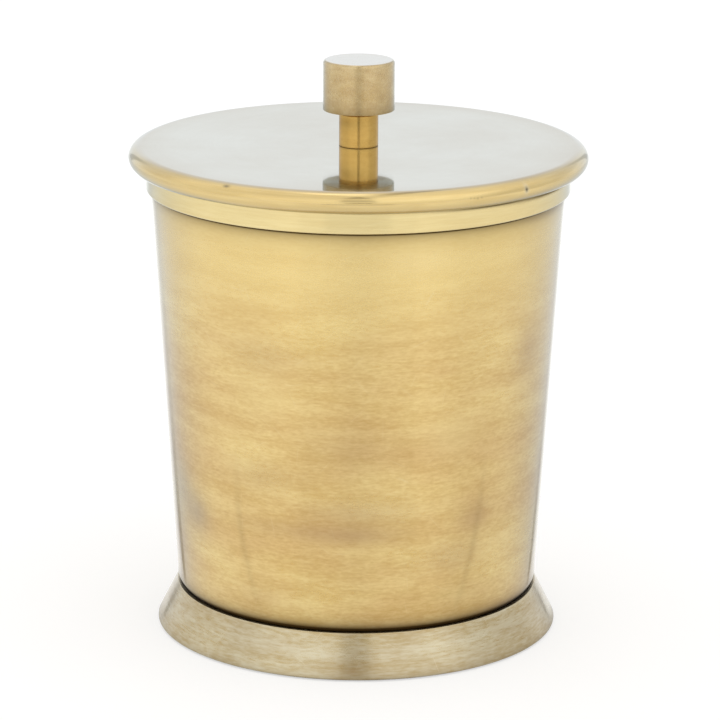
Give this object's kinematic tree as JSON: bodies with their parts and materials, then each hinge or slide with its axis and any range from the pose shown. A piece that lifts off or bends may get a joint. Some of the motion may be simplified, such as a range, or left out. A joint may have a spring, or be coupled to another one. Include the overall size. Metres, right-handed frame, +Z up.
{
  "type": "cotton pad box",
  "caption": "Round lidded jar in aged brass for cotton pads: tapered cup with a rim ring on a flared foot, and a lift-off round-edged lid with a turned knob.",
  "frame": {"origin": "centre of the ring that the box stands on, at the level of the surface", "axes": "+Z up along the axis of the box; X and Y are free, because the box is round"},
  "size_m": [0.115, 0.115, 0.1451],
  "materials": {
    "cup_brass": "brushed round, aged and lacquered",
    "rim_brass": "turned, satin, lacquered",
    "foot_brass": "turned, greyed, satin",
    "lid_brass": "polished and lacquered",
    "stem_brass": "polished",
    "knob_brass": "brushed, aged",
    "fastener_steel": "zinc plated",
    "foot_rubber_black": "matt moulded rubber"
  },
  "bodies": {
    "jar": {"cup": "cup_brass", "rim_ring": "rim_brass", "foot_ring": "foot_brass", "foot_rubber": "foot_rubber_black", "foot_stud": "fastener_steel", "foot_washer": "fastener_steel", "foot_nut": "fastener_steel"},
    "lid": {"lid_plate": "lid_brass", "lid_locating_ring": "rim_brass", "knob_stem": "stem_brass", "knob_head": "knob_brass", "knob_screw": "fastener_steel", "knob_washer": "fastener_steel"}
  },
  "joints": [
    {"name": "lid_lift", "type": "slide", "parent": "jar", "child": "lid", "axis": [0, 0, 1], "range_m": [0, 0.09]}
  ]
}
